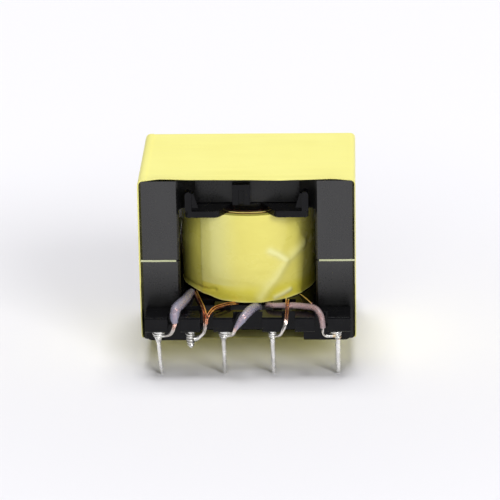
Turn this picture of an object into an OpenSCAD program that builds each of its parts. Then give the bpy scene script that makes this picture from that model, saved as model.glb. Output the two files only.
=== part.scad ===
// Vertical through-hole power transformer on a PQ-shaped ferrite core.
// Millimetres, +Z up. The origin is under the middle of the pin pattern, level with the pin tips.

/* [Core] */
// Width of the ferrite core, across both legs
core_w = 32.8; // [31:0.1:34]
// Depth of the core, front to back
core_d = 22; // [20.5:0.1:23]
// Height of one core half
half_h = 12.8; // [11:0.01:16]
// Thickness of the plate that joins the legs to the centre post
plate_t = 4.7; // [3.5:0.01:5.5]
// Diameter of the round centre post
post_dia = 13.45; // [12:0.05:14.5]
// Diameter of the round winding window
window_dia = 27.5; // [26:0.1:29]
// Opening between the legs at the front and back
leg_gap = 20.9; // [20:0.1:22]
// Depth of the notch in each long side of a plate
notch_depth = 3.6; // [2.5:0.1:4]
// Width of the notch at its floor
notch_floor_w = 16; // [14:0.1:18]
// Thickness of the gap spacers between the legs
gap_t = 0.2; // [0.1:0.02:0.5]
// Distance of the gap spacers from the legs' inner faces
spacer_inset = 0.5; // [0.2:0.1:1]
// Chamfer on the upright edges of the legs
edge_break = 0.3; // [0.1:0.05:0.5]
// Radius of the core's long edges, under the tape
core_edge_r = 0.6; // [0.2:0.1:1]

/* [Tape band] */
// Build-up of the tape turns round the core
band_t = 0.22; // [0.1:0.01:0.5]
// How far the band stands past the core at the front and back
band_overhang = 0.2; // [0:0.05:0.4]

/* [Bobbin] */
// Running clearance between the bobbin tube and the centre post
post_clear = 0.2; // [0.05:0.05:0.4]
// Wall of the bobbin tube
tube_wall = 0.85; // [0.6:0.05:1.2]
// Height left free between each flange and its plate
plate_clear = 0.1; // [0.05:0.05:0.3]
// Thickness of the flanges
flange_t = 1; // [0.7:0.05:1.5]
// Gap between a flange's round edge and the legs
window_clear = 0.3; // [0.1:0.05:0.6]
// Distance from the axis to the flat front and back of the round flanges
flange_flat = 6.9; // [6:0.1:8]
// Width of the upper flange's front wings
wing_w = 18.8; // [17:0.1:19.6]
// Distance from the axis to the front of the wings
wing_reach = 11.3; // [10.5:0.1:12]
// Depth of the bay between the wings
bay_depth = 3.8; // [2:0.1:4.2]
// Width of the bay at its mouth
bay_mouth = 9.8; // [7:0.1:11]
// Width of the bay at its floor
bay_floor = 3.4; // [2:0.1:6]
// Width of the upright hooks on the wing ends
hook_w = 1; // [0.8:0.1:1.6]
// Height of the hooks above the flange
hook_h = 3.1; // [1:0.1:3.6]
// Thickness of the hooks, front to back
hook_t = 1.6; // [0.8:0.1:2]
// Width of the web at the foot of each hook
hook_web = 1.1; // [0.2:0.1:1.2]
// Chamfer on the wing's front corners
wing_chamfer = 0.4; // [0.1:0.1:0.8]
// Width of the forked key on the upper flange
key_w = 2.7; // [1.6:0.1:3]
// Thickness of the key
key_t = 1; // [0.8:0.1:1.4]
// Height of the key
key_h = 3.3; // [1.5:0.1:3.6]
// Distance of the key from the middle, to the left
key_offset = 0.9; // [0:0.1:3]
// Width of the key's groove
key_groove = 0.9; // [0.4:0.1:1]

/* [Pin rails] */
// Width of each pin rail
rail_w = 31.4; // [30:0.1:32.4]
// Distance from the axis to the rail's front face
rail_reach = 16; // [15.6:0.1:17]
// How far the rail's top lies below the lower flange's top
shelf_drop = 0.4; // [0:0.1:0.8]
// Height of the pin blocks
block_h = 2.4; // [1.8:0.1:3]
// Thickness of the rail's back wall
rail_wall = 2; // [1.2:0.1:2.2]
// How far the back wall reaches below the blocks
wall_drop = 0.5; // [0:0.1:1]
// How far the flange laps onto the rail
tongue_lap = 0.5; // [0.2:0.1:1]
// How far the lead chutes run into the rail
chute_run = 1.2; // [0.2:0.1:1.4]
// How far the chutes' floors in the rail lie below the flange
chute_drop = 0.7; // [0:0.1:0.9]
// Depth of the lead chutes, from the winding out to the rail
chute_depth = 2.2; // [1.5:0.1:2.6]
// Gap between the rail and the core
rail_gap = 0.4; // [0.25:0.05:0.8]
// Width of the lead slots between the pins
slot_w = 2; // [1.4:0.1:2.4]
// Width of the wide slot between the two pin groups
middle_slot_w = 4.5; // [3.5:0.1:5]
// Distance of the feet from the middle
foot_from = 8.5; // [7:0.1:10]
// Height of the feet under the rail's back wall
foot_h = 2.6; // [1:0.1:2.9]
// Thickness of the feet
foot_t = 1.2; // [0.8:0.1:2]
// Radius of the feet's outer lower corners
foot_r = 0.8; // [0.2:0.1:1]

/* [Pins] */
// Diameter of the pins' free ends
pin_dia = 0.7; // [0.6:0.05:0.9]
// Thickness of the solder coat that thickens the pins above the board
coat_t = 0.04; // [0.02:0.01:0.08]
// Height of the coat's lower edge above the board
coat_lift = 0.3; // [0.1:0.1:0.8]
// Spacing of the pins in each group of three
pin_pitch = 5; // [4.5:0.01:5.08]
// Spacing across the middle, between the two groups
middle_pitch = 7.5; // [7:0.01:7.62]
// Spacing of the two rows of pins
row_pitch = 30; // [29.6:0.1:30.5]
// Length of the pins below the taped core
pin_drop = 3.95; // [3:0.05:5]
// How deep the pins sit in the blocks
pin_seat = 1.4; // [1:0.1:2]
// Length of the cone on each pin tip
tip_h = 0.35; // [0.2:0.05:0.5]
// Height of the cut-off pin's end above the tape's underside
stub_lift = 0.4; // [0.1:0.1:1]

/* [Windings] */
// Build of the inner half of the primary
primary_in_t = 0.7; // [0.4:0.05:0.8]
// Build of each insulation layer
insulation_t = 0.15; // [0.05:0.05:0.2]
// Build of the secondary
secondary_t = 0.75; // [0.4:0.05:0.8]
// Build of the outer half of the primary
primary_out_t = 0.7; // [0.4:0.05:0.8]
// Build of the outer tape
outer_tape_t = 0.35; // [0.2:0.05:0.5]
// Margin between the copper and the flanges
margin = 0.3; // [0.1:0.05:1]

/* [Leads] */
// Outer diameter of the sleeves on the first and third pins' leads
sleeve_dia = 1.55; // [1:0.05:1.6]
// Outer diameter of the sleeve on the sixth pin's lead
small_sleeve_dia = 1; // [0.85:0.05:1.1]
// Wall of the sleeving
sleeve_wall = 0.15; // [0.1:0.01:0.16]
// Diameter of the stranded lead inside a sleeve
strand_dia = 0.6; // [0.3:0.05:0.6]
// Diameter of the bare leads
lead_dia = 0.55; // [0.3:0.05:0.6]
// Diameter of the fine lead
fine_dia = 0.2; // [0.15:0.05:0.3]
// Gap between the wire turns and the block above them
wrap_clear = 0.05; // [0.05:0.05:0.3]
// Diameter of the tinned wire turns on the pins
wrap_wire_dia = 0.38; // [0.2:0.02:0.44]

/* [Hidden] */

ferrite = [0.16, 0.16, 0.17];
plastic = [0.08, 0.08, 0.09];
tape = [0.97, 0.91, 0.42];
tin = [0.72, 0.71, 0.68];
copper = [0.72, 0.38, 0.2];
sleeving = [0.62, 0.52, 0.58];
$fn = 64;
slack = 0.01;

// heights above the pin tips
core_mid = pin_drop + band_t + half_h + gap_t / 2;
window_half = half_h + gap_t / 2 - plate_t;
flange_top = window_half - plate_clear;
shelf_top = flange_t - flange_top - shelf_drop;
block_bottom = shelf_top - block_h;

// radii of the winding, from the tube out
post_r = post_dia / 2;
tube_in_r = post_r + post_clear;
tube_r = tube_in_r + tube_wall;
primary_in_r = tube_r + primary_in_t;
layer_1_r = primary_in_r + insulation_t;
secondary_r = layer_1_r + secondary_t;
layer_2_r = secondary_r + insulation_t;
primary_out_r = layer_2_r + primary_out_t;
winding_r = primary_out_r + outer_tape_t;
winding_half = flange_top - flange_t;

// rail, from the core out
rail_back = core_d / 2 + rail_gap;
slot_back = rail_back + rail_wall;
tongue_w = leg_gap - 2 * window_clear;
bay_steps = 8;
pin_y = row_pitch / 2;
root_r = pin_dia / 2 + coat_t;
coat_from = pin_drop + coat_lift;
pin_top = core_mid + block_bottom + pin_seat;
pin_places = [-middle_pitch / 2 - 2 * pin_pitch, -middle_pitch / 2 - pin_pitch, -middle_pitch / 2,
    middle_pitch / 2, middle_pitch / 2 + pin_pitch, middle_pitch / 2 + 2 * pin_pitch];
chutes = [[-7.3, -5.2], [-2.7, 3.8], [5.2, 7.3]];
slot_places = [for (side = [-1, 1], i = [0.5, 1.5]) side * (middle_pitch / 2 + i * pin_pitch)];

// Routes of the leads, in millimetres from the middle of the core.
route_1_sleeve = [[-9.4, -6.9, -6.3], [-9.6, -9.4, -6.2], [-9.7, -11.5, -6.3], [-10.4, -13, -6.4],
    [-11, -14.4, -6.6], [-11.3, -15.3, -7.2], [-11.4, -15.7, -8], [-11.4, -15.8, -8.8]];
route_1_wire = [[-9.4, -6.9, -6.3], [-9.6, -9.4, -6.2], [-9.7, -11.5, -6.3], [-10.4, -13, -6.4],
    [-11, -14.4, -6.6], [-11.3, -15.3, -7.2], [-11.4, -15.7, -8], [-11.4, -15.8, -8.8],
    [-11.6, -16.1, -9.5], [-12.1, -16.1, -10.2], [-12.8, -15.6, -10.6]];
route_2a = [[-8.2, -7.4, -6.8], [-7.7, -9.5, -6.7], [-7, -12.6, -6.8], [-6.6, -14.2, -7.3],
    [-6.5, -15.1, -8.1], [-6.5, -15.4, -9.1], [-6.8, -15.6, -10.1], [-7.6, -15.5, -10.9]];
route_2b = [[-2.1, -10.9, -6.8], [-3.4, -12, -6.8], [-4.9, -13.4, -6.9], [-5.7, -15, -7.1],
    [-6.1, -rail_reach, -7.6], [-6.2, -rail_reach - 0.2, -8.4]];
route_3_sleeve = [[1.5, -10, -8], [1.4, -11.2, -7.6], [1.2, -12.1, -6.8], [0.4, -14.2, -6.8],
    [-0.3, -15.7, -7.1], [-1, -rail_reach - 0.6, -7.8], [-1.8, -rail_reach - 0.9, -8.9]];
route_3_wire = [[1.5, -10, -8], [1.4, -11.2, -7.6], [1.2, -12.1, -6.8], [0.4, -14.2, -6.8],
    [-0.3, -15.7, -7.1], [-1, -rail_reach - 0.6, -7.8], [-1.8, -rail_reach - 0.9, -8.9],
    [-2.3, -rail_reach - 0.6, -10], [-2.9, -15.6, -10.6]];
route_4 = [[5.9, -9.6, -6.8], [6, -11.7, -5.8], [6.1, -13.1, -5.8], [6.1, -14.6, -6.8],
    [6, -rail_reach + 0.2, -7.6], [5.8, -rail_reach - 0.4, -8.4], [5.4, -rail_reach - 0.6, -9.3],
    [4.9, -rail_reach - 0.3, -10.2], [4.6, -15.6, -10.6]];
route_6_sleeve = [[2.9, -9.4, -7.8], [2.9, -10.8, -7.6], [3.2, -11.9, -7], [4.4, -12.5, -6.85],
    [6.7, -12.5, -6.85], [8.8, -13, -6.85], [10.3, -13.8, -6.85], [11.1, -14.9, -7.4], [11.4, -15.5, -8.3],
    [11.5, -15.6, -9.3]];
route_6_wire = [[2.9, -9.4, -7.8], [2.9, -10.8, -7.6], [3.2, -11.9, -7], [4.4, -12.5, -6.85],
    [6.7, -12.5, -6.85], [8.8, -13, -6.85], [10.3, -13.8, -6.85], [11.1, -14.9, -7.4], [11.4, -15.5, -8.3],
    [11.5, -15.6, -9.3], [11.9, -15.8, -10.3], [12.8, -15.5, -10.6]];
route_6b = [[8.1, -7.5, -7], [8.6, -9.5, -6.3], [8.9, -11.8, -5.9], [9.8, -13.5, -6.1]];
route_rear = [[6.2, 9.3, -6.7], [6.25, 11.6, -6.7], [6.25, 13.6, -7], [6.25, 15.1, -7.8],
    [6.25, 15.6, -8.8], [6.1, 15.7, -9.7], [4.7, 15.5, -10.5]];
route_rear_outer = [[8.7, 6.7, -6.7], [9.6, 10.3, -6.7], [11, 13, -6.9], [11.25, 14.9, -7.6],
    [11.25, 15.6, -8.7], [11.5, 15.7, -9.7], [12.8, 15.5, -10.5]];

// smooth curve through the route's points
function blend(a, b, c, d, t) = b + t / 2 * (c - a + t * (2 * a - 5 * b + 4 * c - d
    + t * (3 * (b - c) + d - a)));
function smooth(p, steps = 2) = let (n = len(p) - 1) [for (i = [0:n - 1], s = [0:steps - 1])
    blend(p[max(i - 1, 0)], p[i], p[i + 1], p[min(i + 2, n)], s / steps), p[n]];
function unit(v) = v / norm(v);
function tangents(p) = [for (i = [0:len(p) - 1]) unit(p[min(i + 1, len(p) - 1)] - p[max(i - 1, 0)])];
function square_to(v, t) = unit(v - (v * t) * t);
function normals(t, start) = [for (i = 0, v = square_to(start, t[0]); i < len(t);
    i = i + 1, v = i < len(t) ? square_to(v, t[i]) : v) v];

// a tube of round section along a route: solid, or with a bore
module along(route, dia, bore = 0, sides = 8) {
    path = smooth(route);
    t = tangents(path);
    u = normals(t, [0.9, 0.1, 0.4]);
    n = len(path);
    rings = [for (r = bore > 0 ? [dia / 2, bore / 2] : [dia / 2], i = [0:n - 1], k = [0:sides - 1])
        path[i] + r * (cos(360 * k / sides) * u[i] + sin(360 * k / sides) * cross(t[i], u[i]))];
    inner = n * sides;
    wall = [for (i = [0:n - 2], k = [0:sides - 1]) let (a = i * sides + k, b = i * sides + (k + 1) % sides)
        each [[a, a + sides, b], [b, a + sides, b + sides]]];
    bore_wall = [for (f = wall) [f[0] + inner, f[2] + inner, f[1] + inner]];
    last = (n - 1) * sides;
    caps = [[for (k = [0:sides - 1]) k], [for (k = [sides - 1:-1:0]) last + k]];
    rims = [for (k = [0:sides - 1]) let (m = (k + 1) % sides)
        each [[k, m, m + inner], [k, m + inner, k + inner],
            [last + m, last + k, last + k + inner], [last + m, last + k + inner, last + m + inner]]];
    translate([0, 0, core_mid])
        polyhedron(points = rings, faces = bore > 0 ? concat(wall, bore_wall, rims) : concat(wall, caps));
}

module rear_lead(route) {
    color(copper)
        along(route, lead_dia);
}

module sleeve(route, dia) {
    along(route, dia, dia - 2 * sleeve_wall);
}

// a rounded bar that runs from front to back
module rounded_bar(w, h, r, depth) {
    rotate([90, 0, 0])
        linear_extrude(depth, center = true) {
            square([w - 2 * r, h], center = true);
            square([w, h - 2 * r], center = true);
            for (x = [-1, 1], y = [-1, 1])
                translate([x * (w / 2 - r), y * (h / 2 - r)])
                    circle(r);
        }
}

module both_ends() {
    children();
    mirror([0, 1, 0])
        children();
}

// ---- core ----
module core_outline() {
    w = core_w / 2;
    d = core_d / 2;
    c = edge_break;
    polygon([[-w, c - d], [c - w, -d], [w - c, -d], [w, c - d],
        [w, d - c], [w - c, d], [c - w, d], [-w, d - c]]);
}

module leg_outline() {
    g = leg_gap / 2;
    d = core_d / 2;
    c = edge_break;
    difference() {
        core_outline();
        circle(window_dia / 2);
        square([leg_gap, core_d + 1], center = true);
        both_ends()
            polygon([[-g - c, -d - slack], [-g, c - d], [g, c - d], [g + c, -d - slack]]);
    }
}

module plate_outline() {
    g = leg_gap / 2;
    d = core_d / 2;
    c = edge_break;
    f = notch_floor_w / 2;
    difference() {
        core_outline();
        both_ends()
            polygon([[-g - c, -d - slack], [-g, c - d], [-f, notch_depth - d],
                [f, notch_depth - d], [g, c - d], [g + c, -d - slack]]);
    }
}

// one half, with its plate at the bottom and its legs pointing up to z = 0
module core_half() {
    intersection() {
        translate([0, 0, -half_h])
            union() {
                linear_extrude(plate_t)
                    plate_outline();
                linear_extrude(half_h)
                    leg_outline();
                cylinder(h = half_h, r = post_r);
            }
        translate([0, 0, half_h])
            rounded_bar(core_w, 4 * half_h, core_edge_r, core_d + 1);
    }
}

module core_bottom() {
    color(ferrite)
        translate([0, 0, core_mid - gap_t / 2])
            core_half();
}

module core_top() {
    color(ferrite)
        translate([0, 0, core_mid + gap_t / 2])
            mirror([0, 0, 1])
                core_half();
}

module gap_spacer(side) {
    color(tape)
        translate([0, 0, core_mid - gap_t / 2])
            linear_extrude(gap_t)
                intersection() {
                    leg_outline();
                    translate([side * core_w / 2, 0])
                        square([core_w - leg_gap - 2 * spacer_inset, core_d], center = true);
                }
}

module gap_spacer_left() {
    gap_spacer(-1);
}

module gap_spacer_right() {
    gap_spacer(1);
}

module core_tape_band() {
    h = 2 * half_h + gap_t;
    depth = core_d + 2 * band_overhang;
    color(tape)
        translate([0, 0, core_mid])
            difference() {
                rounded_bar(core_w + 2 * band_t, h + 2 * band_t, core_edge_r + band_t, depth);
                rounded_bar(core_w, h, core_edge_r, depth + 1);
            }
}

// ---- bobbin ----
module flange_outline() {
    r = window_dia / 2 - window_clear;
    intersection() {
        circle(r);
        square([2 * r, 2 * flange_flat], center = true);
    }
}

// bay between two wings: a flat floor with an S-shaped flank on each side
module bay_outline() {
    run = (bay_mouth - bay_floor) / 2;
    left = [for (t = [0:1 / bay_steps:1])
        [run * t - bay_mouth / 2, bay_depth * (1 - cos(180 * t)) / 2 - wing_reach]];
    right = [for (i = [len(left) - 1:-1:0]) [-left[i][0], left[i][1]]];
    polygon(concat([[-bay_mouth / 2, -wing_reach - slack]], left, right,
        [[bay_mouth / 2, -wing_reach - slack]]));
}

// upper flange: round, with a pair of wings at each end and a bay between them
module upper_flange() {
    linear_extrude(flange_t)
        difference() {
            union() {
                flange_outline();
                square([wing_w, 2 * wing_reach], center = true);
            }
            both_ends()
                bay_outline();
            both_ends()
                for (side = [-1, 1])
                    translate([side * wing_w / 2, -wing_reach])
                        rotate(45)
                            square(sqrt(2) * wing_chamfer, center = true);
        }
}

// upright hook with a round head, and the web that leans against its back half
module hook() {
    rotate([90, 0, 0]) {
        linear_extrude(hook_t) {
            translate([-hook_w, 0])
                square([hook_w, hook_h - hook_w / 2]);
            translate([-hook_w / 2, hook_h - hook_w / 2])
                circle(hook_w / 2);
        }
        linear_extrude(hook_t / 2)
            polygon([[-hook_w / 2, 0], [-hook_w - hook_web, 0], [-hook_w - hook_web / 4, hook_h - hook_w / 2],
                [-hook_w / 2, hook_h - hook_w / 2]]);
    }
}

module hooks() {
    for (side = [0, 1])
        mirror([side, 0, 0])
            translate([wing_w / 2, hook_t - wing_reach, 0])
                hook();
}

// small forked key that stands in the notch of the upper plate
module key() {
    front = core_d / 2 - notch_depth + plate_clear + key_t;
    difference() {
        translate([-key_offset - key_w / 2, -front, 0])
            cube([key_w, key_t, key_h]);
        translate([-key_offset - key_groove / 2, -front - slack, -slack])
            cube([key_groove, key_t / 2, key_h - key_groove]);
    }
}

// lower flange: round, with a tongue at each end that passes between the legs
module lower_flange() {
    linear_extrude(flange_t)
        difference() {
            union() {
                flange_outline();
                square([tongue_w, 2 * (rail_back + tongue_lap)], center = true);
            }
            both_ends()
                lead_chutes();
        }
}

// openings through which leads pass from the winding to the rail
module lead_chutes() {
    for (x = chutes)
        translate([x[0], -rail_back - chute_run])
            square([x[1] - x[0], chute_run + chute_depth]);
}

module rail() {
    // shelf and back wall
    difference() {
        translate([-rail_w / 2, -slot_back, block_bottom - wall_drop])
            cube([rail_w, rail_wall, block_h + wall_drop]);
        translate([0, 0, -flange_top - chute_drop])
            linear_extrude(flange_t + chute_drop)
                lead_chutes();
    }
    // blocks that hold the pins
    difference() {
        translate([-rail_w / 2, -rail_reach, block_bottom])
            cube([rail_w, rail_reach - slot_back + slack, block_h]);
        for (x = slot_places)
            translate([x - slot_w / 2, -rail_reach - 1, block_bottom - 1])
                cube([slot_w, rail_reach - slot_back + 1, block_h + 2]);
        translate([-middle_slot_w / 2, -rail_reach - 1, block_bottom - 1])
            cube([middle_slot_w, rail_reach - slot_back + 1, block_h + 2]);
        // eased top and bottom front edges
        for (z = [block_bottom, shelf_top])
            translate([0, -rail_reach, z])
                rotate([45, 0, 0])
                    cube([rail_w + 1, 0.3, 0.3], center = true);
        // holes for the pins
        for (x = pin_places)
            translate([x, -pin_y, block_bottom - 1])
                cylinder(h = pin_seat + 1, r = root_r);
    }
    // feet under the ends of the back wall
    for (side = [0, 1])
        mirror([side, 0, 0])
            translate([foot_from, -rail_back, block_bottom - foot_h])
                foot();
}

// foot with its outer lower corner rounded
module foot() {
    w = rail_w / 2 - foot_from;
    rotate([90, 0, 0])
        linear_extrude(foot_t) {
            square([w - foot_r, foot_h]);
            translate([0, foot_r])
                square([w, foot_h - foot_r]);
            translate([w - foot_r, foot_r])
                circle(foot_r);
        }
}

module bobbin() {
    color(plastic)
        translate([0, 0, core_mid])
            difference() {
                union() {
                    translate([0, 0, -flange_top])
                        cylinder(h = 2 * flange_top, r = tube_r);
                    translate([0, 0, flange_top - flange_t])
                        upper_flange();
                    translate([0, 0, -flange_top])
                        lower_flange();
                    both_ends() {
                        translate([0, 0, flange_top])
                            hooks();
                        rail();
                    }
                    translate([0, 0, flange_top])
                        key();
                }
                cylinder(h = 3 * flange_top, r = tube_in_r, center = true);
            }
}

// ---- windings ----
module layer(r_in, r_out, half) {
    translate([0, 0, core_mid])
        difference() {
            cylinder(h = 2 * half, r = r_out, center = true);
            cylinder(h = 2 * half + 1, r = r_in, center = true);
        }
}

module primary_inner_winding() {
    color(copper)
        layer(tube_r, primary_in_r, winding_half - margin);
}

module insulation_tape_1() {
    color(tape)
        layer(primary_in_r, layer_1_r, winding_half);
}

module secondary_winding() {
    color(copper)
        layer(layer_1_r, secondary_r, winding_half - margin);
}

module insulation_tape_2() {
    color(tape)
        layer(secondary_r, layer_2_r, winding_half);
}

module primary_outer_winding() {
    color(copper)
        layer(layer_2_r, primary_out_r, winding_half - margin);
}

module winding_outer_tape() {
    color(tape)
        layer(primary_out_r, winding_r, winding_half);
}

// ---- pins, with wire turns and solder on them ----
// places count from the left; end is -1 at the front and 1 at the back
// the solder coat thickens a pin steadily from the board to its top
function pin_radius(z) =
    pin_dia / 2 + coat_t * max(0, z - coat_from) / (pin_top - coat_from);

module pin(place, end = -1, lift = 0) {
    shoulder = lift + tip_h;
    coat = max(coat_from, shoulder);
    color(tin)
        translate([pin_places[place], end * pin_y, 0]) {
            translate([0, 0, lift])
                cylinder(h = tip_h, r1 = pin_dia / 4, r2 = pin_radius(shoulder));
            if (coat > shoulder)
                translate([0, 0, shoulder])
                    cylinder(h = coat - shoulder, r = pin_dia / 2);
            translate([0, 0, coat])
                cylinder(h = pin_top - coat, r1 = pin_radius(coat), r2 = root_r);
        }
}

module pin_2_stub() {
    pin(1, lift = pin_drop + stub_lift);
}

module wrap(place, end = -1, turns = 2, cone = 0.8) {
    bead = wrap_wire_dia / 2;
    bumps = [for (i = [0:turns - 1], a = [75:-30:-75])
        [root_r + bead * (1 + cos(a)), bead * (sin(a) - 2 * i - 1)]];
    foot = -2 * bead * turns;
    wrap_top = core_mid + block_bottom - wrap_clear;
    inside = [[pin_radius(wrap_top), 0]];
    lower_end = [[root_r + bead, foot - cone * 0.3], [pin_radius(wrap_top + foot - cone), foot - cone]];
    color(tin)
        translate([pin_places[place], end * pin_y, wrap_top])
            rotate_extrude()
                polygon(concat(inside, bumps, lower_end));
}

// ---- the model ----
core_top();
core_bottom();
gap_spacer_left();
gap_spacer_right();
core_tape_band();
bobbin();
primary_inner_winding();
insulation_tape_1();
secondary_winding();
insulation_tape_2();
primary_outer_winding();
winding_outer_tape();
pin(0);  // pin_1
pin_2_stub();
pin(2);  // pin_3
pin(3);  // pin_4
pin(5);  // pin_6
pin(5, 1);  // pin_7
pin(4, 1);  // pin_8
pin(3, 1);  // pin_9
pin(2, 1);  // pin_10
pin(1, 1);  // pin_11
pin(0, 1);  // pin_12
wrap(0, turns = 2, cone = 1);  // wrap_1
wrap(1, turns = 5, cone = 0.3);  // wrap_2
wrap(2, turns = 2);  // wrap_3
wrap(3, turns = 3, cone = 0.3);  // wrap_4
wrap(5, turns = 2);  // wrap_6
wrap(5, 1);  // wrap_7
wrap(3, 1);  // wrap_9
wrap(2, 1);  // wrap_10
wrap(0, 1);  // wrap_12
color(sleeving) sleeve(route_1_sleeve, sleeve_dia);  // lead_1_sleeve
color(tin) along(route_1_wire, strand_dia);  // lead_1_wire
color(copper) along(route_2a, lead_dia);  // lead_2a
color(copper) along(route_2b, lead_dia);  // lead_2b
color(sleeving) sleeve(route_3_sleeve, sleeve_dia);  // lead_3_sleeve
color(tin) along(route_3_wire, strand_dia);  // lead_3_wire
color(copper) along(route_4, lead_dia);  // lead_4
color(sleeving) sleeve(route_6_sleeve, small_sleeve_dia);  // lead_6_sleeve
color(tin) along(route_6_wire, strand_dia);  // lead_6_wire
color(copper) along(route_6b, fine_dia);  // lead_6b
rear_lead(route_rear_outer);  // rear_lead_7
rear_lead(route_rear);  // rear_lead_9
mirror([1, 0, 0]) rear_lead(route_rear);  // rear_lead_10
mirror([1, 0, 0]) rear_lead(route_rear_outer);  // rear_lead_12
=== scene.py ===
import math
import random

import bpy
from mathutils import Matrix, Vector, noise


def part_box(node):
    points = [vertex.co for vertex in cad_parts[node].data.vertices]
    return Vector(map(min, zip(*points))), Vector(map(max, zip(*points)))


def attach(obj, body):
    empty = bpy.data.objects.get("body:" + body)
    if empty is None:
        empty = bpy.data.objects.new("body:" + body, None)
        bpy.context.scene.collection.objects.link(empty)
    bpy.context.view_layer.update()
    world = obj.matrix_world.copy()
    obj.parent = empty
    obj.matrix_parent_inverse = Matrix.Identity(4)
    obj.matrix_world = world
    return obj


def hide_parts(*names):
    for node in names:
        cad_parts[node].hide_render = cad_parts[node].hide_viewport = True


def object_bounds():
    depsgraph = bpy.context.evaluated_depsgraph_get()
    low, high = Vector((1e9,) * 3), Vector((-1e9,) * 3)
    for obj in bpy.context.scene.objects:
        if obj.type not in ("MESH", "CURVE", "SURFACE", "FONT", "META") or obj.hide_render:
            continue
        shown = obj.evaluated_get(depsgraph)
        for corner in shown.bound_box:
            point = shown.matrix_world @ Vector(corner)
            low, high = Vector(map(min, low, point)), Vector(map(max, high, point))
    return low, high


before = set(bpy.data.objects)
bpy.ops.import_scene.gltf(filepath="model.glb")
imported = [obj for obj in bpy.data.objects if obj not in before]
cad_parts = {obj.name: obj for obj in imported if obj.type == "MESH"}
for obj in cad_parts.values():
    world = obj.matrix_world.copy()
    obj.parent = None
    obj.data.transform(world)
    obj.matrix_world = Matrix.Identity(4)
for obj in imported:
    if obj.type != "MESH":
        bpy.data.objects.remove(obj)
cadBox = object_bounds()
scene = bpy.context.scene
scene.view_settings.view_transform = "Standard"
mm = 0.001
print("frame loaded:", len(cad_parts), "nodes")


def middle(node):
    low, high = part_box(node)
    return Vector([(low[i] + high[i]) / 2 for i in range(3)])


coreCentre = middle("core_tape_band")


def atCore(x, y, z):  # millimetres from the middle of the core
    return coreCentre + Vector((x, y, z)) * mm


def direction(azimuth, elevation):  # azimuth 0 is straight in front of the part
    a, e = math.radians(azimuth), math.radians(elevation)
    return Vector((math.sin(a) * math.cos(e), -math.cos(a) * math.cos(e), math.sin(e)))


# Camera
cameraView = {  # angles in degrees, distances in metres, the lens and its sensor in millimetres
    "azimuth": 2.101,
    "elevation": 20.675,
    "roll": 1.04,
    "distance": 0.490923,
    "lower": 0.002443,
    "focalLength": 225.414,
    "sensor": 36,
    "clip": (0.01, 20),
}


def makeCamera(v):
    back = direction(v["azimuth"], v["elevation"])
    side = (-back).cross(Vector((0, 0, 1))).normalized()
    up = side.cross(-back)
    roll = math.radians(v["roll"])
    right = side * math.cos(roll) - up * math.sin(roll)
    top = side * math.sin(roll) + up * math.cos(roll)
    cam = bpy.data.cameras.new("camera")
    cam.lens = v["focalLength"]
    cam.sensor_width = v["sensor"]
    cam.clip_start, cam.clip_end = v["clip"]
    obj = bpy.data.objects.new("camera", cam)
    place = coreCentre + back * v["distance"] - Vector((0, 0, v["lower"]))
    turn = Matrix((right, top, back)).transposed().to_4x4()
    obj.matrix_world = Matrix.Translation(place) @ turn
    scene.collection.objects.link(obj)
    scene.camera = obj


makeCamera(cameraView)
print("camera ready")


class Wire:  # one socket of a graph; an expression on it adds nodes
    def __init__(self, graph, socket):
        self.graph = graph
        self.socket = socket

    def work(self, operation, a, b):
        kinds = [x.socket.type for x in (a, b) if isinstance(x, Wire)]
        if "RGBA" in kinds:
            return self.graph.mix(1.0, a, b, operation)
        if "VECTOR" in kinds:
            wide = [(x, x, x) if isinstance(x, (int, float)) else x for x in (a, b)]
            inputs = {0: wide[0], 1: wide[1]}
            return self.graph.node("ShaderNodeVectorMath", {"operation": operation}, inputs)
        return self.graph.node("ShaderNodeMath", {"operation": operation}, {0: a, 1: b})

    def __add__(self, other):
        return self.work("ADD", self, other)

    def __radd__(self, other):
        return self.work("ADD", other, self)

    def __sub__(self, other):
        return self.work("SUBTRACT", self, other)

    def __rsub__(self, other):
        return self.work("SUBTRACT", other, self)

    def __mul__(self, other):
        return self.work("MULTIPLY", self, other)

    def __rmul__(self, other):
        return self.work("MULTIPLY", other, self)

    def __abs__(self):
        return self.graph.node("ShaderNodeMath", {"operation": "ABSOLUTE"}, {0: self})


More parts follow.
